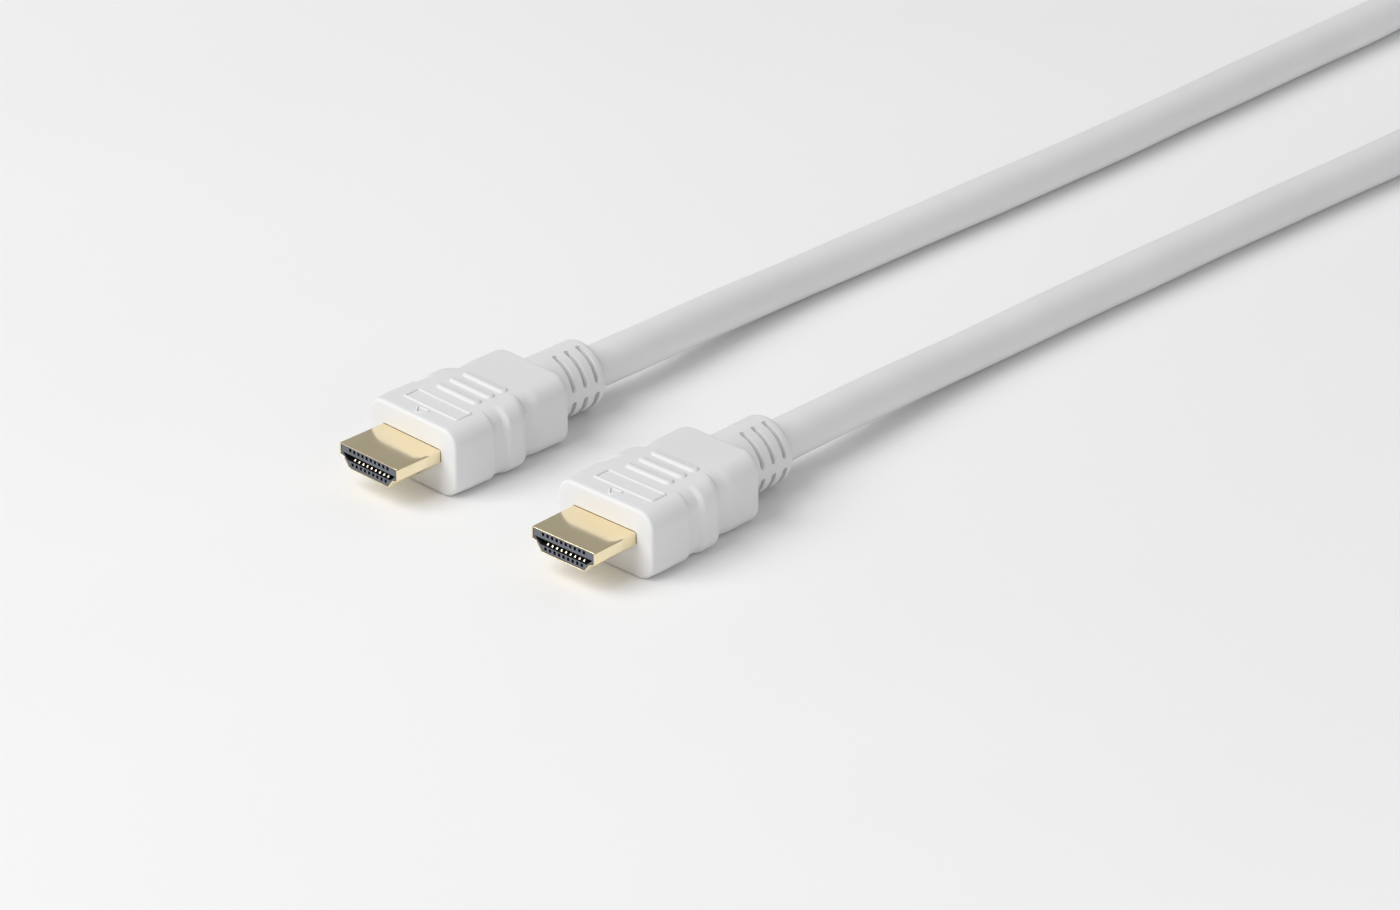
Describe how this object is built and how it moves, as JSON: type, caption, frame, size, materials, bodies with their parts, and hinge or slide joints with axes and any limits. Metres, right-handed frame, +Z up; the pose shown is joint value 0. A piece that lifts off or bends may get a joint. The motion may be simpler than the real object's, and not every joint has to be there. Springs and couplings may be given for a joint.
{
  "type": "digital video cable",
  "caption": "Round white video cable with a moulded plug at each end, gold shells and slotted strain reliefs, its spare cord coiled and tied.",
  "frame": {"origin": "on the floor under the middle of the box round the two plugs, without the cord", "axes": "+X across the plugs' width from the first plug to the second, +Y from the plugs' tips towards the cord, +Z up"},
  "size_m": [0.102, 0.368, 0.015],
  "materials": {
    "white_moulding": "satin white moulding",
    "gold_plate": "bright pale gold plating",
    "dark_insulator": "dark grey moulded insulator",
    "contact_plate": "bright gold plating",
    "white_cord": "smooth satin sheath",
    "tie_plastic": "matt strap"
  },
  "bodies": {
    "root": {"overmould_a": "white_moulding", "shell_a": "gold_plate", "insulator_a": "dark_insulator", "contact_a_01": "contact_plate", "contact_a_02": "contact_plate", "contact_a_03": "contact_plate", "contact_a_04": "contact_plate", "contact_a_05": "contact_plate", "contact_a_06": "contact_plate", "contact_a_07": "contact_plate", "contact_a_08": "contact_plate", "contact_a_09": "contact_plate", "contact_a_10": "contact_plate", "contact_a_11": "contact_plate", "contact_a_12": "contact_plate", "contact_a_13": "contact_plate", "contact_a_14": "contact_plate", "contact_a_15": "contact_plate", "contact_a_16": "contact_plate", "contact_a_17": "contact_plate", "contact_a_18": "contact_plate", "contact_a_19": "contact_plate", "overmould_b": "white_moulding", "shell_b": "gold_plate", "insulator_b": "dark_insulator", "contact_b_01": "contact_plate", "contact_b_02": "contact_plate", "contact_b_03": "contact_plate", "contact_b_04": "contact_plate", "contact_b_05": "contact_plate", "contact_b_06": "contact_plate", "contact_b_07": "contact_plate", "contact_b_08": "contact_plate", "contact_b_09": "contact_plate", "contact_b_10": "contact_plate", "contact_b_11": "contact_plate", "contact_b_12": "contact_plate", "contact_b_13": "contact_plate", "contact_b_14": "contact_plate", "contact_b_15": "contact_plate", "contact_b_16": "contact_plate", "contact_b_17": "contact_plate", "contact_b_18": "contact_plate", "contact_b_19": "contact_plate", "cord_a": "white_cord", "cord_b": "white_cord", "cord_coil": "white_cord", "cord_tie": "tie_plastic"}
  },
  "joints": []
}
